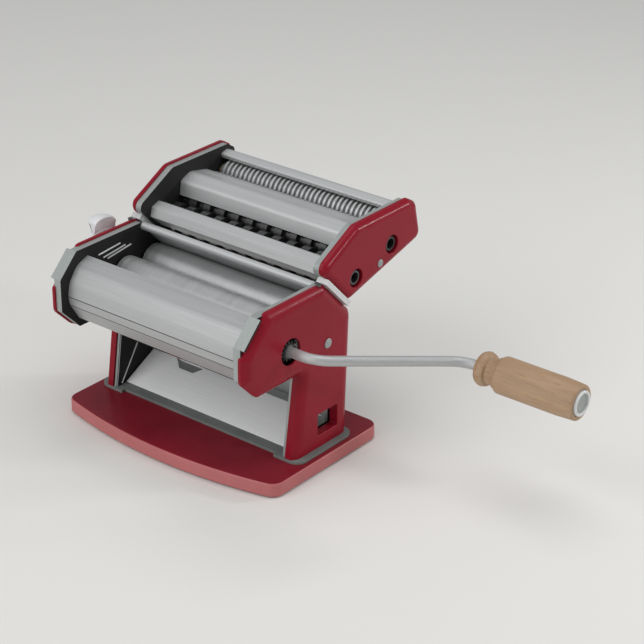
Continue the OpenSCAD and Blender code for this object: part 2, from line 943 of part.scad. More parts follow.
module cutter_middle_cover() {
    path = rounded_path([[42.7, 136.8], [44.2, 146.8], [53, 150.2], [70.1, 146.6]], [0, 3, 6, 0]);
    color(steel)
    plate(sheet(path, 1), -web_in, web_in);
}

module cutter_back_cover() {
    path = [[86.6, 151.4], [85.4, 154.6], [92, 156.6], [98, 153.5], [102.6, 133]];
    color(steel)
    plate(sheet(rounded_path(path, [0, 1.5, 4, 3, 0]), -1), -web_in, web_in);
}

comb_top = -11;
comb_low = -12.2;
finger_top = -7.6;

// Strip under one cutter roller, with a finger in each groove
module comb(centre_a, side, first_x, pitch, finger_w) {
    near = centre_a + side * 1;
    far = centre_a + side * 7;
    finger_near = centre_a + side * 1.5;
    finger_far = centre_a + side * 5;
    strip = [in_head(near, comb_low), in_head(far, comb_low), in_head(far, comb_top),
        in_head(near, comb_top)];
    finger = [in_head(finger_near, comb_top - 0.1), in_head(finger_far, comb_top - 0.1),
        in_head(finger_far, finger_top), in_head(finger_near, finger_top)];
    plate(side > 0 ? strip : [for (i = [3 : -1 : 0]) strip[i]], -web_in, web_in);
    for (x = [first_x : pitch : cutter_half])
        plate(side > 0 ? finger : [for (i = [3 : -1 : 0]) finger[i]],
            x - finger_w / 2, x + finger_w / 2);
}

cutter_half = 74;
wide_first = -71.5;
narrow_first = -72;

module wide_comb() {
    color(dark_steel) {
        union() comb(0, -1, wide_first + wide_pitch / 2, wide_pitch, 5);
        union() comb(cutter_distance, 1, wide_first, wide_pitch, 5);
    }
}

module narrow_comb() {
    color(dark_steel) {
        union() comb(pair_distance, -1, narrow_first + narrow_pitch / 2, narrow_pitch, 1.3);
        union() comb(pair_distance + cutter_distance, 1, narrow_first, narrow_pitch, 1.3);
    }
}

module cutter_bushes() {
    color(brass)
    both_sides()
        for (a = [0, cutter_distance, pair_distance, pair_distance + cutter_distance])
            difference() {
                bar(in_head(a, 0), cutter_bush_r, web_in, web_out);
                bar(in_head(a, 0), journal_r + running_fit, web_in - 1, web_out + 1);
            }
}

module cutter_tie_rods() {
    color(dark_steel)
    for (p = [in_head(-12.2, 9), in_head(28.5, -8)])
        bar(p, 2.5, -web_in, web_in);
}

// ---- Cutter rollers ----

core_r = 6.8;
wide_disc = 6.3;
narrow_disc = 1.85;
cutter_gear_x = [-84.4, -79.8];

// Roller with discs every pitch, its first disc at first_x
module cutter_roller(axis, first_x, pitch, disc_w, right_end) {
    bar(axis, core_r, -cutter_half - 1.5, cutter_half + 1.5);
    bar(axis, journal_r, cutter_gear_x[0], right_end);
    for (x = [first_x : pitch : cutter_half])
        bar(axis, cutter_r, x - disc_w / 2, x + disc_w / 2);
}

module driven_cutter(axis, first_x, pitch, disc_w) {
    color(steel)
    difference() {
        cutter_roller(axis, first_x, pitch, disc_w, cavity_out);
        bar(axis, socket_r, socket_end_x + 3, cavity_out + 1);
    }
}

module idle_cutter(axis, first_x, pitch, disc_w) {
    color(steel) union() cutter_roller(axis, first_x, pitch, disc_w, web_out + 1.5);
}

module cutter_gear(axis, phase) {
    color(brass)
    gear(axis, cutter_teeth, cutter_module, 9.8, 7.4, 0.15, phase, cutter_gear_x[0],
        cutter_gear_x[1], journal_r);
}

module wide_driven_cutter() {
    driven_cutter(wide_driven_axis, wide_first, wide_pitch, wide_disc);
}

module wide_idle_cutter() {
    idle_cutter(wide_idle_axis, wide_first + wide_pitch / 2, wide_pitch, wide_disc);
}

module narrow_driven_cutter() {
    driven_cutter(narrow_driven_axis, narrow_first, narrow_pitch, narrow_disc);
}

module narrow_idle_cutter() {
    idle_cutter(narrow_idle_axis, narrow_first + narrow_pitch / 2, narrow_pitch, narrow_disc);
}

module wide_driven_gear() {
    cutter_gear(wide_driven_axis, cutter_tilt);
}

module wide_idle_gear() {
    cutter_gear(wide_idle_axis, cutter_tilt + 180 + 180 / cutter_teeth);
}

module narrow_driven_gear() {
    cutter_gear(narrow_driven_axis, cutter_tilt);
}

module narrow_idle_gear() {
    cutter_gear(narrow_idle_axis, cutter_tilt + 180 + 180 / cutter_teeth);
}

base_plate();
rubber_feet();
foot_gasket();
left_side_frame();
right_side_frame();
left_cover();
right_cover();
front_guard();
rear_guard();
outfeed_tray();
tie_rods();
left_rail();
right_rail();
rail_screws();
cover_rivets();
front_bushes();
drive_bushes();
front_scraper();
rear_scraper();
dial_plate();
link_stud();
drive_shaft();
drive_pinion();
drive_circlip();
crank_rod();
crank_rivet();
grip();
grip_end_cap();
front_roller();
front_drive_gear();
front_spur_gear();
rear_roller();
rear_spur_gear();
rear_blocks();
link_plate();
dial_spindle();
dial_knob();
dial_screw();
cutter_left_frame();
cutter_right_frame();
cutter_left_cover();
cutter_right_cover();
cutter_front_cover();
cutter_middle_cover();
cutter_back_cover();
wide_comb();
narrow_comb();
cutter_bushes();
cutter_tie_rods();
cutter_rivets();
rail_shoes();
wide_driven_cutter();
wide_driven_gear();
wide_idle_cutter();
wide_idle_gear();
narrow_driven_cutter();
narrow_driven_gear();
narrow_idle_cutter();
narrow_idle_gear();
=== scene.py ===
"""Looks of the pasta roller machine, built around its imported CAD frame.

Everything is in metres, in the frame's own axes: X runs along the rollers towards the crank,
Y to the back and Z up. Outlines and places are read from the CAD nodes, and the pieces made here
stand for the nodes whose edges, turned shapes or small marks need more than the CAD gives.
"""
import json
import math

import bmesh
import bpy
from mathutils import Matrix, Vector
from mathutils.geometry import tessellate_polygon


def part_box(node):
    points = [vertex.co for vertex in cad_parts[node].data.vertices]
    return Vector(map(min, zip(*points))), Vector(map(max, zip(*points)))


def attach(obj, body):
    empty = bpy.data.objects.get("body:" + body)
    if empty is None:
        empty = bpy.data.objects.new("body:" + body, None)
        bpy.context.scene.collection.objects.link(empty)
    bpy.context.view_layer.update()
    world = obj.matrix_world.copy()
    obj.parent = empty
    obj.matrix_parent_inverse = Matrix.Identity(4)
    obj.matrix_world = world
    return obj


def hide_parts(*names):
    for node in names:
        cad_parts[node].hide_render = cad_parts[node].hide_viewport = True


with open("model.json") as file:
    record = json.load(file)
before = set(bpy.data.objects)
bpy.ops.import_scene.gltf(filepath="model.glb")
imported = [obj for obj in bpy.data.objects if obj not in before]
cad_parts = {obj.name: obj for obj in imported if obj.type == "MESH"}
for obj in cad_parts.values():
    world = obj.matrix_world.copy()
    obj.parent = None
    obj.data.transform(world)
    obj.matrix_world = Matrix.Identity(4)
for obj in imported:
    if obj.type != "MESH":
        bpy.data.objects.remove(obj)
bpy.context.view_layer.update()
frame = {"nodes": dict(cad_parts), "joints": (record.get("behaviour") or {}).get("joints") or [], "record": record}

MM = 0.001
WELD = 2e-6
NODES = frame["nodes"]
BODY_OF = {
    node: body
    for body, members in frame["record"]["behaviour"]["bodies"].items()
    for node in members
}
SLOT_OF = {row["node"]: row["material_slot"] for row in frame["record"]["subparts"]}
JOINT = {j["name"]: j for j in frame["joints"]}


def joint_place(name):
    """Y and Z of a joint's axis."""
    return Vector(JOINT[name]["pos_m"][1:])


# ---- Outlines ----

# A shorter side than STRAIGHT belongs to a rounded corner. Turns are in radians.
STRAIGHT = 2.4 * MM
LEAST_TURN = 0.02
LEAST_ROUNDED_TURN = 0.2
LEAST_RADIUS = 0.5 * MM
CORNER_STEPS = 6
CIRCLE_STEPS = 64
FLAT_SINE = 0.004
TINY = 1e-7


def section(node, axis, place):
    """Closed loops, largest first, where the plane axis = place cuts a CAD node."""
    cut = bmesh.new()
    cut.from_mesh(NODES[node].data)
    bmesh.ops.remove_doubles(cut, verts=cut.verts, dist=WELD)
    normal = Vector((axis == 0, axis == 1, axis == 2))
    bmesh.ops.bisect_plane(
        cut, geom=[*cut.verts, *cut.edges, *cut.faces], plane_co=normal * place,
        plane_no=normal, clear_inner=True, clear_outer=True,
    )
    keep = [i for i in range(3) if i != axis]
    next_to = {v: [e.other_vert(v) for e in v.link_edges] for v in cut.verts}
    loops = []
    while next_to:
        here = next(iter(next_to))
        loop = []
        while here is not None:
            loop.append(Vector([here.co[i] for i in keep]))
            around = next_to.pop(here)
            here = next((v for v in around if v in next_to), None)
        loops.append(without_straight_points(loop))
    cut.free()
    loops = [loop for loop in loops if len(loop) > 2]
    return sorted(loops, key=lambda loop: -abs(area(loop)))


def area(loop):
    """Area inside a loop, positive where it runs counter-clockwise."""
    return sum(a.cross(b) for a, b in zip(loop, loop[1:] + loop[:1])) / 2


def without_straight_points(loop):
    """The loop without the points that lie on a straight run, counter-clockwise."""
    if area(loop) < 0:
        loop = loop[::-1]
    bends = []
    for i, point in enumerate(loop):
        before = point - loop[i - 1]
        after = loop[(i + 1) % len(loop)] - point
        if min(before.length, after.length) < TINY:
            continue
        if abs(before.normalized().cross(after.normalized())) > FLAT_SINE:
            bends.append(point)
    return bends


def turn_between(one, two):
    """Signed angle from one direction to another, positive to the left."""
    return math.atan2(one.cross(two), one.dot(two))


def corners(loop):
    """Sharp corners of an outline whose corners are rounded, each with its radius."""
    sides = [(a, b) for a, b in zip(loop, loop[1:] + loop[:1]) if (b - a).length > STRAIGHT]
    found = []
    for (a, b), (c, d) in zip(sides, sides[1:] + sides[:1]):
        turn = turn_between(b - a, d - c)
        if (c - b).length < 10 * TINY or abs(turn) < LEAST_TURN:
            found.append(((b + c) / 2, 0.0))
            continue
        point = meeting(a, b, c, d)
        found.append((point, (point - b).length / math.tan(abs(turn) / 2)))
    return found


def left_of(v):
    """A direction turned a right angle to the left."""
    return Vector((-v.y, v.x))


def meeting(a, b, c, d):
    """Where the line through a and b meets the line through c and d."""
    one, two = b - a, d - c
    return a + one * ((c - a).cross(two) / one.cross(two))


def without_steps(found, least):
    """Rounded corners with each side shorter than least dropped, and its neighbours drawn on."""
    count = len(found)
    for i in range(count):
        a, b = found[i][0], found[(i + 1) % count][0]
        if (b - a).length > least:
            continue
        before, after = found[i - 1][0], found[(i + 2) % count][0]
        merged = (meeting(before, a, b, after), max(found[i][1], found[(i + 1) % count][1]))
        kept = [corner for k, corner in enumerate(found) if k not in (i, (i + 1) % count)]
        kept.insert(min(i, len(kept)), merged)
        return without_steps(kept, least)
    return found


def drawn_down(found, floor, depth):
    """Corners that lie on the floor moved down along their upright sides."""
    out = []
    for i, (corner, radius) in enumerate(found):
        ends = (found[i - 1][0], found[(i + 1) % len(found)][0])
        upper = max(ends, key=lambda end: end.y)
        if corner.y < floor + 1 * MM:
            side = corner - upper
            corner = corner + side * depth / abs(side.y)
            radius = 0.0
        out.append((corner, radius))
    return out


def mitred(before, point, after, inset):
    """A corner moved to the left of both its sides, with the two directions of the sides."""
    one, two = (point - before).normalized(), (after - point).normalized()
    n1, n2 = left_of(one), left_of(two)
    return point + (n1 + n2) * inset / (1 + n1.dot(n2)), one, two


def fillet(corner, direction, turn, radius, steps):
    """Points of the arc that rounds a corner where a line in a direction turns by an angle."""
    start = corner - direction * (radius * math.tan(abs(turn) / 2))
    centre = start + left_of(direction) * math.copysign(radius, turn)
    points = []
    for k in range(steps + 1):
        spoke = start - centre
        spoke.rotate(Matrix.Rotation(turn * k / steps, 2))
        points.append(centre + spoke)
    return points


def corner_outline(found, soften=0.0):
    """Outline of rounded corners, as a function of how far it is moved inwards. soften is added
    to each radius."""
    def at(inset):
        points = []
        for i, (corner, radius) in enumerate(found):
            before, after = found[i - 1][0], found[(i + 1) % len(found)][0]
            moved, one, two = mitred(before, corner, after, inset)
            turn = turn_between(one, two)
            if abs(turn) < LEAST_ROUNDED_TURN:
                points.append(moved)
                continue
            side = 1 if turn > 0 else -1
            bend = max(radius + soften - side * inset, LEAST_RADIUS)
            points += fillet(moved, one, turn, bend, CORNER_STEPS)
        return points
    return at


def circle_outline(centre, radius):
    """Round hole; moving it inwards, into the material, makes it larger."""
    def at(inset):
        r = radius + inset
        turns = [-2 * math.pi * k / CIRCLE_STEPS for k in range(CIRCLE_STEPS)]
        return [centre + Vector((math.cos(t), math.sin(t))) * r for t in turns]
    return at


def middle_and_radius(loop):
    """Centre and mean radius of a round loop."""
    centre = sum(loop, Vector((0, 0))) / len(loop)
    return centre, sum((p - centre).length for p in loop) / len(loop)


def hole_outline(loop):
    """A hole's outline: a circle where it has no straight side, and corners where it has."""
    if all((b - a).length < STRAIGHT for a, b in zip(loop, loop[1:] + loop[:1])):
        return circle_outline(*middle_and_radius(loop))
    return corner_outline(corners(loop[::-1]), soften=1.2 * MM)


# ---- Meshes ----

SMOOTH_ANGLE = math.radians(38)
FOLD_ANGLE = math.radians(10)
EDGE_STEPS = 5
PRESS_POWER = 2.7


def piece(name, mesh, body, materials, replaces=(), slot=None, sharp=SMOOTH_ANGLE, broken=0.0):
    """Puts a bmesh in the scene as one piece of the object, riding on a body. broken is the width
    of a bevel on its folds and edges."""
    bmesh.ops.recalc_face_normals(mesh, faces=mesh.faces)
    data = bpy.data.meshes.new(name)
    mesh.to_mesh(data)
    mesh.free()
    for face in data.polygons:
        face.use_smooth = True
    data.set_sharp_from_angle(angle=sharp)
    for material in materials:
        data.materials.append(material)
    made = bpy.data.objects.new(name, data)
    bpy.context.scene.collection.objects.link(made)
    if broken:
        bevel = made.modifiers.new("edges", "BEVEL")
        bevel.width = broken
        bevel.segments = 2
        bevel.limit_method = "ANGLE"
        bevel.angle_limit = FOLD_ANGLE
    weighted = made.modifiers.new("even_shading", "WEIGHTED_NORMAL")
    weighted.keep_sharp = True
    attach(made, body)
    if replaces:
        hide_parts(*replaces)
        slot = slot or SLOT_OF[replaces[0]]


def bridge(mesh, one, two, index=0):
    """Quads between two closed rows of as many vertices."""
    count = len(one)
    for i in range(count):
        j = (i + 1) % count
        face = mesh.faces.new([one[i], one[j], two[j], two[i]])
        face.material_index = index


def fill(mesh, rows):
    """Triangles between an outline and its holes, all in one plane."""
    flat = [v for row in rows for v in row]
    for numbers in tessellate_polygon([[v.co for v in row] for row in rows]):
        trio = [flat[i] for i in numbers]
        if mesh.faces.get(trio) is None:
            mesh.faces.new(trio)


def shell(boundaries, place, rim_index=0):
    """Closed solid between boundaries, the outline first and then the holes. Each boundary is an
    outline and its layers of (inset, height), from the outer face's edge round to the inner's.
    A height may be a function of the point."""
    mesh = bmesh.new()
    rows = []
    for outline, layers in boundaries:
        made = []
        for inset, height in layers:
            level = height if callable(height) else (lambda point, h=height: h)
            made.append([mesh.verts.new(place(p, level(p))) for p in outline(inset)])
        for one, two in zip(made, made[1:]):
            bridge(mesh, one, two, rim_index)
        rows.append(made)
    fill(mesh, [made[0] for made in rows])
    fill(mesh, [made[-1] for made in rows])
    return mesh


def quarter_turn(steps):
    """Angles from 0 to a right angle."""
    return [math.pi / 2 * k / steps for k in range(steps + 1)]


def arc(radius, height):
    """Layers of a rounded edge, from a face at a height down its side."""
    return [
        (radius * (1 - math.sin(t)), height - radius * (1 - math.cos(t)))
        for t in quarter_turn(EDGE_STEPS)
    ]


def pressed(width, depth, inset, height, steps):
    """Layers of a pressed edge: steep at its rim, then running out softly into the face."""
    shares = [k / steps for k in range(steps, -1, -1)]
    return [(inset + width * s, height - depth * (1 - s) ** PRESS_POWER) for s in shares]


def turned(profile, centre, direction, steps=64, index=0):
    """Solid of revolution. The profile is (along, radius) points; radius 0 closes an end."""
    mesh = bmesh.new()
    direction = Vector(direction).normalized()
    side = direction.orthogonal().normalized()
    other = direction.cross(side)
    turns = [2 * math.pi * k / steps for k in range(steps)]
    spokes = [side * math.cos(t) + other * math.sin(t) for t in turns]
    rows = []
    for along, radius in profile:
        middle = Vector(centre) + direction * along
        if radius < TINY:
            rows.append([mesh.verts.new(middle)] * steps)
        else:
            rows.append([mesh.verts.new(middle + spoke * radius) for spoke in spokes])
    for one, two in zip(rows, rows[1:]):
        for i in range(steps):
            j = (i + 1) % steps
            ring = list(dict.fromkeys([one[i], one[j], two[j], two[i]]))
            if len(ring) > 2:
                face = mesh.faces.new(ring)
                face.material_index = index
    return mesh


def softened(profile, radii, steps=4):
    """Open profile with its inner corners rounded. radii has one for each point, in millimetres."""
    points = [Vector(p) for p in profile]
    out = [points[0]]
    for before, point, after, radius in zip(points, points[1:], points[2:], radii[1:]):
        one = (point - before).normalized()
        turn = turn_between(one, after - point)
        if radius <= 0 or abs(turn) < LEAST_TURN:
            out.append(point)
        else:
            out += fillet(point, one, turn, radius * MM, steps)
    out.append(points[-1])
    return [(p.x, p.y) for p in out]


def join(target, other):
    """Moves one bmesh into another."""
    copy = bpy.data.meshes.new("part")
    other.to_mesh(copy)
    other.free()
    target.from_mesh(copy)
    bpy.data.meshes.remove(copy)


# ---- Materials ----

class Nodes:
    """A material's node tree, with the principled shader's fixed values set on its own sockets."""

    def __init__(self, name, colour, roughness, metallic=0.0, **sockets):
        self.material = bpy.data.materials.new(name)
        self.material.use_nodes = True
        self.tree = self.material.node_tree
        self.shader = self.tree.nodes["Principled BSDF"]
        self.shader.inputs["Base Color"].default_value = (*colour, 1)
        self.shader.inputs["Roughness"].default_value = roughness
        self.shader.inputs["Metallic"].default_value = metallic
        for socket, value in sockets.items():
            self.shader.inputs[socket.replace("_", " ")].default_value = value
        self.material.diffuse_color = (*colour, 1)

    def add(self, kind, **values):
        """A node with its properties, input values and links from other nodes' outputs."""
        node = self.tree.nodes.new(kind)
        for key, value in values.items():
            if hasattr(node, key):
                setattr(node, key, value)
                continue
            socket = node.inputs[key.replace("_", " ")]
            if isinstance(value, bpy.types.NodeSocket):
                self.tree.links.new(value, socket)
            else:
                socket.default_value = value
        return node

    def stretched(self, scale):
        """Object coordinates multiplied by scale."""
        place = self.add("ShaderNodeTexCoord").outputs["Object"]
        return self.add("ShaderNodeMapping", Vector=place, Scale=scale).outputs["Vector"]

    def noise(self, scale, detail=4.0, rough=0.55, stretch=(1, 1, 1), distort=0.0):
        """Noise from 0 to 1; scale is in waves per metre."""
        made = self.add(
            "ShaderNodeTexNoise", Vector=self.stretched(stretch), Scale=scale, Detail=detail,
            Roughness=rough, Distortion=distort,
        )
        return made.outputs["Fac"]

    def x_of(self, vector):
        """The X part of a vector output."""
        return self.add("ShaderNodeSeparateXYZ", Vector=vector).outputs["X"]

    def remap(self, value, low, high, to_low, to_high):
        """The value with low to high brought to the range to_low to to_high, and cut off there."""
        made = self.add("ShaderNodeMapRange", Value=value)
        names = ("From Min", "From Max", "To Min", "To Max")
        for name, number in zip(names, (low, high, to_low, to_high)):
            made.inputs[name].default_value = number
        return made.outputs["Result"]

    def mix(self, factor, one, two):
        """Colour mix; one and two are colours or outputs."""
        made = self.add("ShaderNodeMix", data_type="RGBA")
        self.tree.links.new(factor, made.inputs[0])
        for socket, value in ((made.inputs[6], one), (made.inputs[7], two)):
            if isinstance(value, bpy.types.NodeSocket):
                self.tree.links.new(value, socket)
            else:
                socket.default_value = (*value, 1)
        return made.outputs[2]

    def bumps(self, *layers):
        """Bump layers of (height output, strength, depth in metres), one on another."""
        normal = None
        for height, strength, depth in layers:
            made = self.add("ShaderNodeBump", Height=height, Strength=strength, Distance=depth)
            if normal is not None:
                self.tree.links.new(normal, made.inputs["Normal"])
            normal = made.outputs["Normal"]
        self.feed("Normal", normal)

    def feed(self, socket, output):
        """Links an output to one of the shader's own sockets."""
        self.tree.links.new(output, self.shader.inputs[socket])


def enamel(name, colour, deep, roughness):
    """Baked enamel: orange peel, cloudy depth and a fine pale grain."""
    n = Nodes(
        name, colour, roughness, Coat_Weight=0.1, Coat_Roughness=0.14, Specular_IOR_Level=0.12,
    )
    cloud = n.noise(38, 3)
    grain = n.remap(n.noise(900, 4, 0.7), 0.35, 0.75, 0, 0.35)
    tone = n.mix(n.remap(cloud, 0.3, 0.7, 0, 1), deep, colour)
    pale = tuple(min(1, c * 1.25 + 0.006) for c in colour)
    n.feed("Base Color", n.mix(grain, tone, pale))
    n.feed("Roughness", n.remap(n.noise(160, 4), 0.3, 0.7, roughness - 0.05, roughness + 0.09))
    n.bumps((n.noise(420, 2), 0.12, 0.03 * MM))
    return n.material


FINE_BUMP = 0.02 * MM
POLISHED_BUMP = 0.004 * MM


def brushed(
    name, colour, dark, roughness, stretch, lines, metallic, depth=FINE_BUMP, shaded_from=None,
):
    """Steel with fine lines along the axis whose stretch is small; lines is how many to a metre.
    It is made dark from a given X on: painted shade, for the shade inside the hole it sits in."""
    n = Nodes(name, colour, roughness, metallic)
    fine = n.noise(lines, 3, 0.6, stretch)
    broad = n.noise(lines / 9, 3, 0.5, stretch)
    cloud = n.noise(22, 3)
    tone = n.mix(n.remap(fine, 0.3, 0.72, 0, 1), dark, colour)
    tone = n.mix(n.remap(cloud, 0.35, 0.75, 0, 0.35), tone, dark)
    # Painted shade: past the given X the colour goes dark, as in the shade inside a hole.
    if shaded_from is not None:
        across = n.x_of(n.add("ShaderNodeTexCoord").outputs["Object"])
        tone = n.mix(n.remap(across, shaded_from, shaded_from + 1 * MM, 0, 1), tone, HOLE_SHADE)
    n.feed("Base Color", tone)
    n.feed("Roughness", n.remap(broad, 0.3, 0.7, roughness - 0.06, roughness + 0.1))
    n.bumps((fine, 0.3, depth))
    return n.material


def side_plate(name, colour, dark, inner):
    """Pressed steel side frame: pale flanges, and painted shade on the faces across X, a dark colour standing in
    for the shade on its inner faces.
    """
    n = Nodes(name, colour, 0.5, 0.45)
    fine = n.noise(900, 3, 0.6, (1, 1, 0.12))
    grain = n.noise(2200, 3, 0.6)
    facing = n.add("ShaderNodeMath", operation="ABSOLUTE")
    n.tree.links.new(n.x_of(n.add("ShaderNodeNewGeometry").outputs["Normal"]), facing.inputs[0])
    # Faces across X, which are given the painted shade.
    shaded_faces = n.remap(facing.outputs[0], 0.75, 0.95, 0, 1)
    pale = n.mix(n.remap(fine, 0.3, 0.7, 0, 1), dark, colour)
    # Painted shade: a dark colour for the faces across X, where the side frames' inner faces lie in shade.
    painted_shade = n.mix(n.remap(grain, 0.35, 0.7, 0, 1), tuple(c * 0.6 for c in inner), inner)
    n.feed("Base Color", n.mix(shaded_faces, pale, painted_shade))
    n.feed("Roughness", n.remap(shaded_faces, 0, 1, 0.50, 0.66))
    n.bumps((fine, 0.3, FINE_BUMP), (grain, 0.25, 0.03 * MM))
    return n.material


def brass(name):
    """Turned bearing metal, clouded with oil."""
    n = Nodes(name, (0.62, 0.44, 0.17), 0.34, 1.0)
    swirl = n.noise(700, 4, 0.6, (3, 1, 1))
    tone = n.mix(n.remap(swirl, 0.3, 0.7, 0, 1), (0.42, 0.28, 0.10), (0.66, 0.48, 0.20))
    n.feed("Base Color", tone)
    n.feed("Roughness", n.remap(n.noise(300, 3), 0.3, 0.7, 0.26, 0.45))
    n.bumps((swirl, 0.3, FINE_BUMP))
    return n.material


def turned_wood(name):
    """Tan hardwood: long fibres along X, growth bands, open pores and a worn oil finish."""
    n = Nodes(name, (0.48, 0.32, 0.20), 0.5, Coat_Weight=0.05, Coat_Roughness=0.35)
    grain = n.noise(170, 5, 0.6, (0.10, 1, 1), 0.6)
    bands = n.noise(60, 3, 0.5, (0.16, 1, 1.3), 1.2)
    pores = n.remap(n.noise(1500, 2, 0.6, (0.05, 1, 1)), 0.6, 0.72, 0, 1)
    tone = n.mix(n.remap(bands, 0.35, 0.65, 0, 1), (0.35, 0.222, 0.124), (0.46, 0.305, 0.184))
    tone = n.mix(n.remap(grain, 0.35, 0.7, 0, 0.55), tone, (0.315, 0.195, 0.108))
    n.feed("Base Color", n.mix(n.remap(pores, 0, 1, 0, 0.6), tone, (0.20, 0.11, 0.05)))
    n.feed("Roughness", n.remap(grain, 0.3, 0.7, 0.42, 0.62))
    n.bumps((grain, 0.25, 0.1 * MM), (pores, -0.3, 0.08 * MM))
    return n.material


def matte(name, colour, other, roughness):
    """Rubber or moulded plastic with a fine grain."""
    n = Nodes(name, colour, roughness, Specular_IOR_Level=0.35)
    grain = n.noise(1800, 3, 0.6)
    cloud = n.noise(60, 3)
    n.feed("Base Color", n.mix(n.remap(cloud, 0.3, 0.7, 0, 1), other, colour))
    n.feed("Roughness", n.remap(grain, 0.3, 0.7, roughness - 0.08, roughness + 0.1))
    n.bumps((grain, 0.4, 0.08 * MM))
    return n.material


# Dark colour of painted shade inside holes, for the cutters' shaft ends and the drive pinion.
HOLE_SHADE = (0.05, 0.05, 0.05)
ALL_WAYS = (1, 1, 1)
ALONG_X = (0.012, 1, 1)
ALONG_Z = (1, 1, 0.1)
ROUND_X = (1, 0.02, 0.02)
DIAL_LINES = (1, 0.3, 1)
PALE = (0.62, 0.63, 0.63)
PALE_LOW = (0.53, 0.54, 0.54)
FINISH = {
    "red_enamel": enamel("red_enamel", (0.27, 0.006, 0.019), (0.22, 0.005, 0.015), 0.32),
    "base_enamel": enamel("base_enamel", (0.235, 0.014, 0.026), (0.18, 0.009, 0.019), 0.36),
    "sheet_steel": brushed("sheet_steel", PALE, PALE_LOW, 0.44, ALONG_X, 1500, 0.6),
    # The last colour is painted shade for the side frames' faces across X.
    "frame_steel": side_plate(
        "frame_steel", (0.40, 0.43, 0.42), (0.34, 0.365, 0.355), (0.024, 0.023, 0.023),
    ),
    "polished_steel": brushed(
        "polished_steel", PALE, PALE_LOW, 0.38, ROUND_X, 2600, 0.7, POLISHED_BUMP,
    ),
    "dark_steel": brushed(
        "dark_steel", (0.16, 0.16, 0.16), (0.10, 0.10, 0.10), 0.45, ALONG_X, 900, 0.7,
    ),
    "gear_steel": brushed(
        "gear_steel", (0.30, 0.30, 0.29), (0.20, 0.20, 0.19), 0.42, ALL_WAYS, 700, 0.8,
    ),
    "bearing_brass": brass("bearing_brass"),
    "grip_wood": turned_wood("grip_wood"),
    "gasket_grey": matte("gasket_grey", (0.20, 0.215, 0.205), (0.155, 0.17, 0.16), 0.62),
    "dial_metal": brushed(
        "dial_metal", (0.78, 0.79, 0.80), (0.70, 0.71, 0.72), 0.48, DIAL_LINES, 1200, 0.1,
    ),
    "foot_rubber": matte("foot_rubber", (0.018, 0.018, 0.018), (0.028, 0.027, 0.026), 0.8),
}
# Lighter red for the base's rim: painted light, a lit copy of the base's enamel.
painted_light_rim = enamel("painted_light_rim", (0.48, 0.155, 0.155), (0.43, 0.135, 0.135), 0.42)
plain_steel = brushed(
    "plain_steel", (0.74, 0.75, 0.75), (0.64, 0.65, 0.65), 0.46, ALONG_Z, 1100, 0.3,
)
tray_steel = brushed(
    "tray_steel", (0.93, 0.94, 0.94), (0.86, 0.87, 0.87), 0.5, ALONG_X, 1500, 0.0,
)
guard_steel = brushed(
    "guard_steel", (0.52, 0.53, 0.53), (0.44, 0.45, 0.45), 0.46, ALONG_X, 1500, 0.6,
)
# The narrow cutters' shaft ends past X = 80 mm are painted dark, as painted shade inside the head cover's holes.
cutter_steel = brushed(
    "cutter_steel", PALE, PALE_LOW, 0.40, ROUND_X, 3000, 0.75, POLISHED_BUMP, shaded_from=80 * MM,
)
wide_cutter_steel = brushed(
    "wide_cutter_steel", (0.13, 0.13, 0.13), (0.06, 0.06, 0.06), 0.30, ROUND_X, 3000, 0.8,
)
rod_steel = brushed(
    "rod_steel", (0.50, 0.51, 0.51), (0.43, 0.44, 0.44), 0.46, ALL_WAYS, 900, 0.5, POLISHED_BUMP,
)
rivet_steel = brushed(
    "rivet_steel", (0.38, 0.40, 0.39), (0.30, 0.32, 0.31), 0.45, ALL_WAYS, 900, 0.5,
)
# Dark steel for the drive pinion: painted shade, as it sits in shade inside a hole of the head.
hole_shade_steel = brushed("hole_shade_steel", HOLE_SHADE, (0.03, 0.03, 0.03), 0.5, ALL_WAYS, 900, 0.4)


# ---- CAD nodes that stay ----

# Widths of broken edges, in millimetres.
EDGE = {
    "crank_rod": 0.6, "front_roller": 0.5, "rear_roller": 0.5, "rubber_feet": 1.2,
    "foot_gasket": 0.7, "outfeed_tray": 0.3,
    "rail_shoes": 0.5, "left_rail": 0.4, "right_rail": 0.4, "rear_blocks": 0.4,
    "narrow_driven_cutter": 0.18, "narrow_idle_cutter": 0.18,
}
FINE_EDGE = 0.25
SHARP = math.radians(32)


def dress(name, material):
    """Gives a CAD node its material, and broken edges by modifiers alone."""
    node = NODES[name]
    node.data.materials.clear()
    node.data.materials.append(material)
    weld = node.modifiers.new("weld", "WELD")
    weld.merge_threshold = WELD
    bevel = node.modifiers.new("edges", "BEVEL")
    bevel.width = EDGE.get(name, FINE_EDGE) * MM
    bevel.segments = 2
    bevel.limit_method = "ANGLE"
    bevel.angle_limit = SHARP
    bevel.harden_normals = False
    shading = node.modifiers.new("even_shading", "WEIGHTED_NORMAL")
    shading.keep_sharp = False


OWN_FINISH = {
    "left_rail": plain_steel, "right_rail": plain_steel, "rail_shoes": plain_steel,
    "narrow_driven_cutter": cutter_steel, "narrow_idle_cutter": cutter_steel,
    "wide_driven_cutter": wide_cutter_steel, "wide_idle_cutter": wide_cutter_steel,
    # The drive pinion's dark colour is painted shade.
    "crank_rod": rod_steel, "outfeed_tray": tray_steel, "drive_pinion": hole_shade_steel,
}
for name in NODES:
    dress(name, OWN_FINISH.get(name, FINISH[SLOT_OF[name]]))


# ---- Base ----

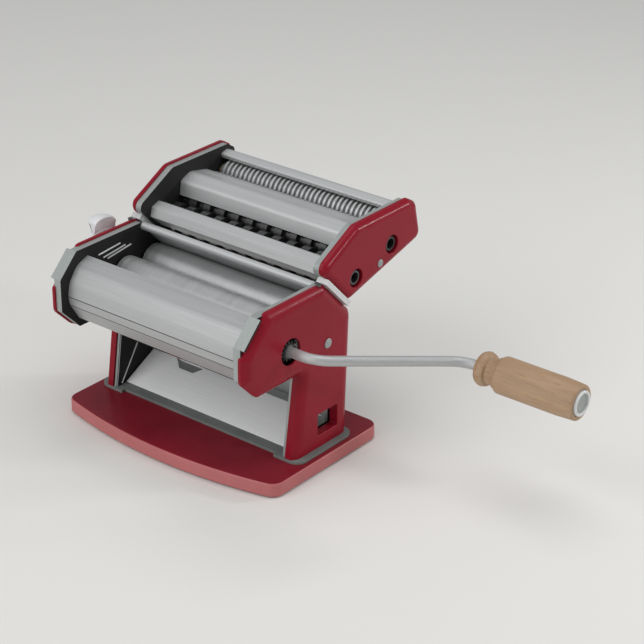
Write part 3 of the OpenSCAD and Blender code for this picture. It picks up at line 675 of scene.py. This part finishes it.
def base():
    """Pressed base, open below, with its rim a lighter red than its top: painted light, as if the rim faced the
    lamps more than the top.
    """
    low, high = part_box("base_plate")
    loop = section("base_plate", 2, (low.z + high.z) / 2)[0]
    outline = corner_outline(corners(loop), soften=1 * MM)
    wall = 2 * MM
    chamfer = 1 * MM
    top_edge = 1.7 * MM
    foot_edge = 0.8 * MM
    layers = arc(top_edge, high.z)
    layers += [(inset, low.z + high.z - z) for inset, z in reversed(arc(foot_edge, high.z))]
    layers += [(wall, low.z), (wall, high.z - wall - chamfer), (wall + chamfer, high.z - wall)]
    mesh = shell([(outline, layers)], lambda p, h: (p.x, p.y, h), rim_index=1)
    # The top of the rounded edge keeps the top's red; the rest of the rim gets the lighter painted-light red.
    for face in mesh.faces:
        middle = face.calc_center_median()
        if face.material_index == 1 and middle.z > high.z - 0.25 * top_edge:
            face.material_index = 0
    piece("base_shell", mesh, "frame", [FINISH["base_enamel"], painted_light_rim], ["base_plate"])


base()


# ---- Red covers ----

# How wide the rounded edge is on the body's covers and the head's, and how far it falls.
COVER_EDGE = 8.6 * MM
HEAD_EDGE = 6.2 * MM
COVER_FALL = 3.6 * MM
INNER_FALL = COVER_FALL - 1 * MM
COVER_WALL = 1.2 * MM
COVER_SOFTEN = 2 * MM
OUTER_STEPS = 9
INNER_STEPS = 6
CUT_IN = 0.7 * MM
HOLE_EDGE = 0.5 * MM
CLAMP_HOLE_DEPTH = 6.5 * MM
BODY_BORE_DEPTH = 1.4 * MM
HEAD_BORE_DEPTH = 3 * MM
RIVET_HOLE_SIZE = 4.5 * MM
# Shorter sides of a cover's outline are left out.
LEAST_SIDE = 8.3 * MM
HEAD_CORNER = 3.5 * MM
BELOW_LEG = 9 * MM
SHOE_ROOM = 2.5 * MM
FRAME_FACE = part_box("right_side_frame")[0].x
LIP_IN = FRAME_FACE + 5.6 * MM
LIP_DEEP = FRAME_FACE + 3.1 * MM
LIP_SHORT = LIP_IN + 2.2 * MM
LEG_TOP_Z = 76.5 * MM
NOSE_UNDER_Y = -62 * MM


def cover(name, node, bore_depth, lip):
    """Pressed cover with a large rounded edge, over one side of the body or of the head. lip
    gives how far in X its lip starts at a point. The rivet's hole is left out."""
    low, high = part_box(node)
    side = 1 if high.x > 0 else -1
    out = max(high.x, -low.x)
    loops = section(node, 0, side * (out - CUT_IN))
    found = without_steps(corners(loops[0]), LEAST_SIDE)
    on_body = BODY_OF[node] == "frame"
    if on_body:
        edge = COVER_EDGE
        found = drawn_down(found, low.z, BELOW_LEG)
    else:
        edge = HEAD_EDGE
        found = [(corner, max(radius, HEAD_CORNER)) for corner, radius in found]
    inner = pressed(edge - COVER_WALL, INNER_FALL, COVER_WALL, out - COVER_WALL, INNER_STEPS)
    layers = pressed(edge, COVER_FALL, 0, out, OUTER_STEPS)
    layers += [(0, lip), (COVER_WALL, lip), *reversed(inner)]
    boundaries = [(corner_outline(found, COVER_SOFTEN), layers)]
    for loop in loops[1:]:
        if math.sqrt(abs(area(loop))) > RIVET_HOLE_SIZE:
            for_clamp = max(p.y for p in loop) < LEG_TOP_Z
            back = out - (CLAMP_HOLE_DEPTH if for_clamp else bore_depth)
            layers = arc(HOLE_EDGE, out)
            layers += [(0, back), (COVER_WALL, back), (COVER_WALL, out - COVER_WALL)]
            boundaries.append((hole_outline(loop), layers))
    mesh = shell(boundaries, lambda p, h: (side * h, p.x, p.y))
    if on_body:
        open_below(mesh, low.z)
    piece(name, mesh, BODY_OF[node], [FINISH["red_enamel"]], [node])


def open_below(mesh, level):
    """Cuts a solid off at a level and closes the cut walls."""
    cut = bmesh.ops.bisect_plane(
        mesh, geom=[*mesh.verts, *mesh.edges, *mesh.faces], plane_co=(0, 0, level),
        plane_no=(0, 0, -1), clear_outer=True,
    )
    edges = [g for g in cut["geom_cut"] if isinstance(g, bmesh.types.BMEdge)]
    bmesh.ops.triangle_fill(mesh, use_beauty=True, edges=edges)


def body_lip(point):
    """The lip reaches further in along the head's underside and the leg's front edge."""
    deep = point.y < LEG_TOP_Z and NOSE_UNDER_Y < point.x < 0
    return LIP_DEEP if deep else LIP_IN


LIFT = Vector(JOINT["head_lift"]["axis"][1:])
HEAD_UNDER = min(p.dot(LIFT) for p in section("cutter_right_cover", 0, LIP_IN + 0.5 * MM)[0])


def head_lip(point):
    """The head's covers have a shorter lip below, where the shoes are."""
    under = point.dot(LIFT) < HEAD_UNDER + SHOE_ROOM
    return LIP_SHORT if under else LIP_IN


cover("right_cover_shell", "right_cover", BODY_BORE_DEPTH, body_lip)
cover("left_cover_shell", "left_cover", BODY_BORE_DEPTH, body_lip)
cover("head_right_cover_shell", "cutter_right_cover", HEAD_BORE_DEPTH, head_lip)
cover("head_left_cover_shell", "cutter_left_cover", HEAD_BORE_DEPTH, head_lip)


# ---- Folded sheets ----

FOLD_HALF = 0.42 * MM
FOLD_DEEP = 0.4 * MM
LEAST_FOLD = math.radians(14)
SHEET_SHARP = math.radians(70)
SHEET_BREAK = 0.15 * MM


def scored(outline):
    """Outline of a bent sheet with a groove pressed in outside each of its folds, and the numbers
    of the sides that lie in a groove."""
    points = []
    grooves = []
    for i, point in enumerate(outline):
        before, after = outline[i - 1], outline[(i + 1) % len(outline)]
        inner, one, two = mitred(before, point, after, FOLD_DEEP)
        if LEAST_FOLD < turn_between(one, two) < 2 * LEAST_FOLD:
            grooves += [len(points), len(points) + 1]
            points += [point - one * FOLD_HALF, inner, point + two * FOLD_HALF]
        else:
            points.append(point)
    return points, grooves


def folded(name, node, steel=FINISH["sheet_steel"], shade_in_folds=False):
    """Sheet bent along X. Where asked, grooves are pressed at its folds and their faces are made dark: painted
    shade in the folds.
    """
    low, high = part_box(node)
    outline = section(node, 0, 0.0)[0]
    grooves = []
    materials = [steel]
    if shade_in_folds:
        outline, grooves = scored(outline)
        materials.append(FINISH["dark_steel"])
    mesh = bmesh.new()
    rows = [[mesh.verts.new((x, p.x, p.y)) for p in outline] for x in (low.x, high.x)]
    bridge(mesh, *rows)
    mesh.faces.ensure_lookup_table()
    # The groove faces get dark steel, as painted shade in the folds.
    for side in grooves:
        mesh.faces[side].material_index = 1
    for row in rows:
        fill(mesh, [row])
    piece(name, mesh, BODY_OF[node], materials, [node], sharp=SHEET_SHARP, broken=SHEET_BREAK)


folded("folded_front_guard", "front_guard", guard_steel, shade_in_folds=True)
folded("folded_rear_guard", "rear_guard")
folded("folded_head_front", "cutter_front_cover")
folded("folded_head_middle", "cutter_middle_cover")
folded("folded_head_back", "cutter_back_cover")


# ---- Rivets and pressed ridges ----

def rivets(name, node, dome):
    """Domed rivet heads on both sides, each with a short shank behind it."""
    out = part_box(node)[1].x
    rim = 0.3 * MM
    mesh = bmesh.new()
    for side in (1, -1):
        for loop in section(node, 0, side * (out - rim)):
            centre, radius = middle_and_radius(loop)
            shank = 0.5 * radius
            profile = [(-2 * MM, 0), (-2 * MM, shank), (0, shank), (0, radius)]
            profile += [
                (rim + dome * math.sin(t), radius * (0.12 + 0.88 * math.cos(t)))
                for t in quarter_turn(7)[:-1]
            ]
            profile.append((rim + dome, 0))
            place = (side * (out - 2 * rim), centre.x, centre.y)
            join(mesh, turned(profile, place, (side, 0, 0), 40))
    piece(name, mesh, BODY_OF[node], [rivet_steel], [node])


rivets("body_rivets", "cover_rivets", 0.7 * MM)
rivets("head_rivets", "cutter_rivets", 0.6 * MM)


def ridge(mesh, x, start, end, radius):
    """Half-round pressed ridge with round ends, along a side frame's inner face."""
    a, b = Vector((x, *start)) * MM, Vector((x, *end)) * MM
    length = (b - a).length
    ends = [(radius * (1 - math.cos(t)), radius * math.sin(t)) for t in quarter_turn(5)]
    profile = ends + [(length - along, r) for along, r in reversed(ends)]
    join(mesh, turned(profile, a, b - a, 16))


# Each ridge's two ends, as Y and Z. These and the X given to ridge are in millimetres.
CHEEK_RIDGES = [
    ((-40.8, 119), (-19, 120.8)), ((-36.3, 115.6), (-14.3, 117.9)),
    ((-32.4, 113.6), (-8.6, 116.5)),
]
LEG_RIDGE = ((-24.3, 14), (-7, 40))


def pressed_ridges():
    """Three short ridges beside the rollers and a long one on the leg, on both side frames."""
    mesh = bmesh.new()
    for side in (1, -1):
        for ends in CHEEK_RIDGES:
            ridge(mesh, side * 77, *ends, 0.6 * MM)
        ridge(mesh, side * 76.2, *LEG_RIDGE, 0.5 * MM)
    piece("pressed_ridges", mesh, "frame", [plain_steel], slot="sheet_steel")


pressed_ridges()


# ---- Crank grip ----

def grip():
    """Turned wooden grip: a flange, a neck, and a long barrel with a recess in its end."""
    low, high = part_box("grip")
    middle = (low + high) / 2
    length = high.x - low.x
    radius = (high.z - low.z) / 2
    bore = 3.6 * MM
    neck, flange = 9.0 * MM, 11.6 * MM
    profile = [
        (6 * MM, bore), (0, bore), (0, flange - 1 * MM), (3.6 * MM, flange + 0.3 * MM),
        (7.2 * MM, flange - 0.8 * MM), (8 * MM, neck), (12.6 * MM, neck),
        (13.4 * MM, 10.6 * MM), (15.4 * MM, 11 * MM), (16.8 * MM, radius),
        (length - 14 * MM, radius), (length, radius - 0.7 * MM),
        (length, 8.9 * MM), (length - 2 * MM, 8.9 * MM), (length - 2 * MM, 0),
    ]
    radii = [0, 0.6, 2, 3.2, 2, 1, 1, 0.6, 1, 2, 30, 1.2, 0.4, 0.2, 0]
    mesh = turned(softened(profile, radii, 5), (low.x, middle.y, middle.z), (1, 0, 0), 72)
    piece("turned_grip", mesh, BODY_OF["grip"], [FINISH["grip_wood"]], ["grip"])


def grip_cap():
    """Steel ring round a darker disc, let into the grip's end."""
    low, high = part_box("grip_end_cap")
    middle = (low + high) / 2
    let_in = 1.2 * MM
    start = (low.x - let_in, middle.y, middle.z)
    rise = high.x - low.x + let_in
    ring = [
        (0, 5.6 * MM), (0, 8.7 * MM), (rise, 8.7 * MM), (rise, 6.9 * MM), (0.6 * rise, 6.5 * MM),
        (0, 5.6 * MM),
    ]
    ring = softened(ring, [0, 0.2, 0.7, 0.5, 0.2, 0])
    disc = [(0, 0), (0, 7 * MM), (0.62 * rise, 6.9 * MM), (0.62 * rise, 2.2 * MM), (0.8 * rise, 0)]
    disc = softened(disc, [0, 0.2, 0.2, 1, 0])
    mesh = turned(disc, start, (1, 0, 0), 48, index=1)
    join(mesh, turned(ring, start, (1, 0, 0)))
    materials = [plain_steel, rivet_steel]
    piece("ringed_end_cap", mesh, BODY_OF["grip_end_cap"], materials, ["grip_end_cap"])


grip()
grip_cap()


# ---- Thickness dial ----

DIAL_FACE = -102 * MM
DIAL_RIM = 27 * MM
DIAL_HUB = 22 * MM
LOBE_HALF = 10.2 * MM
LOBE_TIP = 31.3 * MM
LOBE_TURN = math.radians(84)
LOBE_STEPS = 8


def lobe_row(share, out):
    """One cross-section of the thumb lobe, as (x, radius) points; share runs from -1 to 1."""
    full = math.sqrt(max(0.0, 1 - share ** 2))
    top = (31.4 + 4.4 * full) * MM
    tip = out - (1 + 5 * full) * MM
    return [
        (out + 4.2 * MM, DIAL_HUB), (out + 0.4 * MM, DIAL_HUB), (out + 0.4 * MM, 29.2 * MM),
        (out - 0.5 * MM, 30.6 * MM), (tip + 0.5 * MM, 30.9 * MM), (tip, LOBE_TIP),
        (tip + 0.6 * MM, 0.3 * LOBE_TIP + 0.7 * top), (out - 1.5 * MM, top - 0.1 * MM),
        (out + 3 * MM, top), (out + 4.6 * MM, top - 0.9 * MM), (out + 5 * MM, 31 * MM),
        (out + 4.3 * MM, 29 * MM),
    ]


def dial():
    """Dished dial with a raised hub and rim, and a thumb lobe that curls out over its edge."""
    place = joint_place("dial_turn")
    out = DIAL_FACE
    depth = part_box("dial_knob")[1].x - out
    rim, hub = DIAL_RIM, DIAL_HUB
    profile = [
        (0.4 * MM, 0), (0.4 * MM, 9 * MM), (1.8 * MM, 10.5 * MM), (1.8 * MM, rim - 3.4 * MM),
        (0, rim - 2.2 * MM), (0, rim - 0.4 * MM), (1 * MM, rim), (4.2 * MM, rim),
        (5 * MM, rim - 1 * MM), (5 * MM, hub), (depth, hub), (depth, 0),
    ]
    radii = [0, 1, 1, 0.6, 0.6, 0.4, 0.6, 0.6, 0.6, 0.8, 0.5, 0]
    mesh = turned(softened(profile, radii), (out, place.x, place.y), (1, 0, 0), 96)
    rows = []
    turn = Matrix.Rotation(LOBE_TURN, 2)
    for k in range(-LOBE_STEPS, LOBE_STEPS + 1):
        share = math.sin(math.pi / 2 * k / LOBE_STEPS)
        row = []
        for x, radius in lobe_row(share, out):
            flat = turn @ Vector((radius, share * LOBE_HALF)) + place
            row.append(mesh.verts.new((x, flat.x, flat.y)))
        rows.append(row)
    for one, two in zip(rows, rows[1:]):
        bridge(mesh, one, two)
    mesh.faces.new(rows[0])
    mesh.faces.new(rows[-1][::-1])
    piece("moulded_dial", mesh, BODY_OF["dial_knob"], [FINISH["dial_metal"]], ["dial_knob"])


dial()


# ---- Stage, lights and camera ----

def studio():
    """Pale floor and an even grey sky."""
    bpy.ops.mesh.primitive_plane_add(size=12, location=(0, 0, 0))
    floor = bpy.context.object
    floor.name = "floor"
    n = Nodes("pale_floor", (0.80, 0.79, 0.76), 0.7, Specular_IOR_Level=0.2)
    n.feed("Roughness", n.remap(n.noise(30, 3), 0.3, 0.7, 0.65, 0.8))
    floor.data.materials.append(n.material)
    world = bpy.data.worlds.new("studio")
    world.use_nodes = True
    sky = world.node_tree.nodes["Background"]
    sky.inputs["Color"].default_value = (0.80, 0.81, 0.83, 1)
    sky.inputs["Strength"].default_value = 0.45
    bpy.context.scene.world = world


def softbox(name, place, aim, size, power):
    """Rectangular lamp at a place, facing its aim; power is in watts."""
    data = bpy.data.lights.new(name, "AREA")
    data.shape = "RECTANGLE"
    data.size, data.size_y = size
    data.energy = power
    lamp = bpy.data.objects.new(name, data)
    lamp.location = place
    lamp.rotation_mode = "QUATERNION"
    lamp.rotation_quaternion = (Vector(aim) - Vector(place)).to_track_quat("-Z", "Y")
    bpy.context.scene.collection.objects.link(lamp)


AZIMUTH = math.radians(39.07)
ELEVATION = math.radians(26.4)
ROLL = math.radians(0.26)
DISTANCE = 1.3438
TARGET = Vector((0.0862, 0, 0.1045))
LENS_MM = 115.2
SENSOR_MM = 36


def camera():
    """Camera to the right of the front and above, slightly rolled, looking at its target."""
    data = bpy.data.cameras.new("camera")
    data.lens = LENS_MM
    data.sensor_width = SENSOR_MM
    back = Vector((
        math.sin(AZIMUTH) * math.cos(ELEVATION),
        -math.cos(AZIMUTH) * math.cos(ELEVATION),
        math.sin(ELEVATION),
    ))
    level = Vector((math.cos(AZIMUTH), math.sin(AZIMUTH), 0))
    above = back.cross(level)
    right = level * math.cos(ROLL) + above * math.sin(ROLL)
    up = back.cross(right)
    made = bpy.data.objects.new("camera", data)
    turn = Matrix((right, up, back)).transposed().to_4x4()
    made.matrix_world = Matrix.Translation(TARGET + back * DISTANCE) @ turn
    bpy.context.scene.collection.objects.link(made)
    bpy.context.scene.camera = made


studio()
MIDDLE = (0.04, 0, 0.08)
softbox("key", (-0.45, -1.45, 1.45), MIDDLE, (1.3, 1.3), 12)
softbox("fill", (-0.15, -1.35, 0.3), (0, 0, 0.03), (0.9, 0.4), 3.2)
softbox("top", (0.1, 0.15, 1.7), MIDDLE, (1.4, 1.0), 8)
softbox("edge", (0.72, 0.80, 0.46), MIDDLE, (0.16, 0.10), 2.2)
softbox("side", (1.0, 0.25, 0.62), MIDDLE, (0.12, 0.14), 1.6)
camera()
bpy.context.scene.view_settings.view_transform = "Standard"
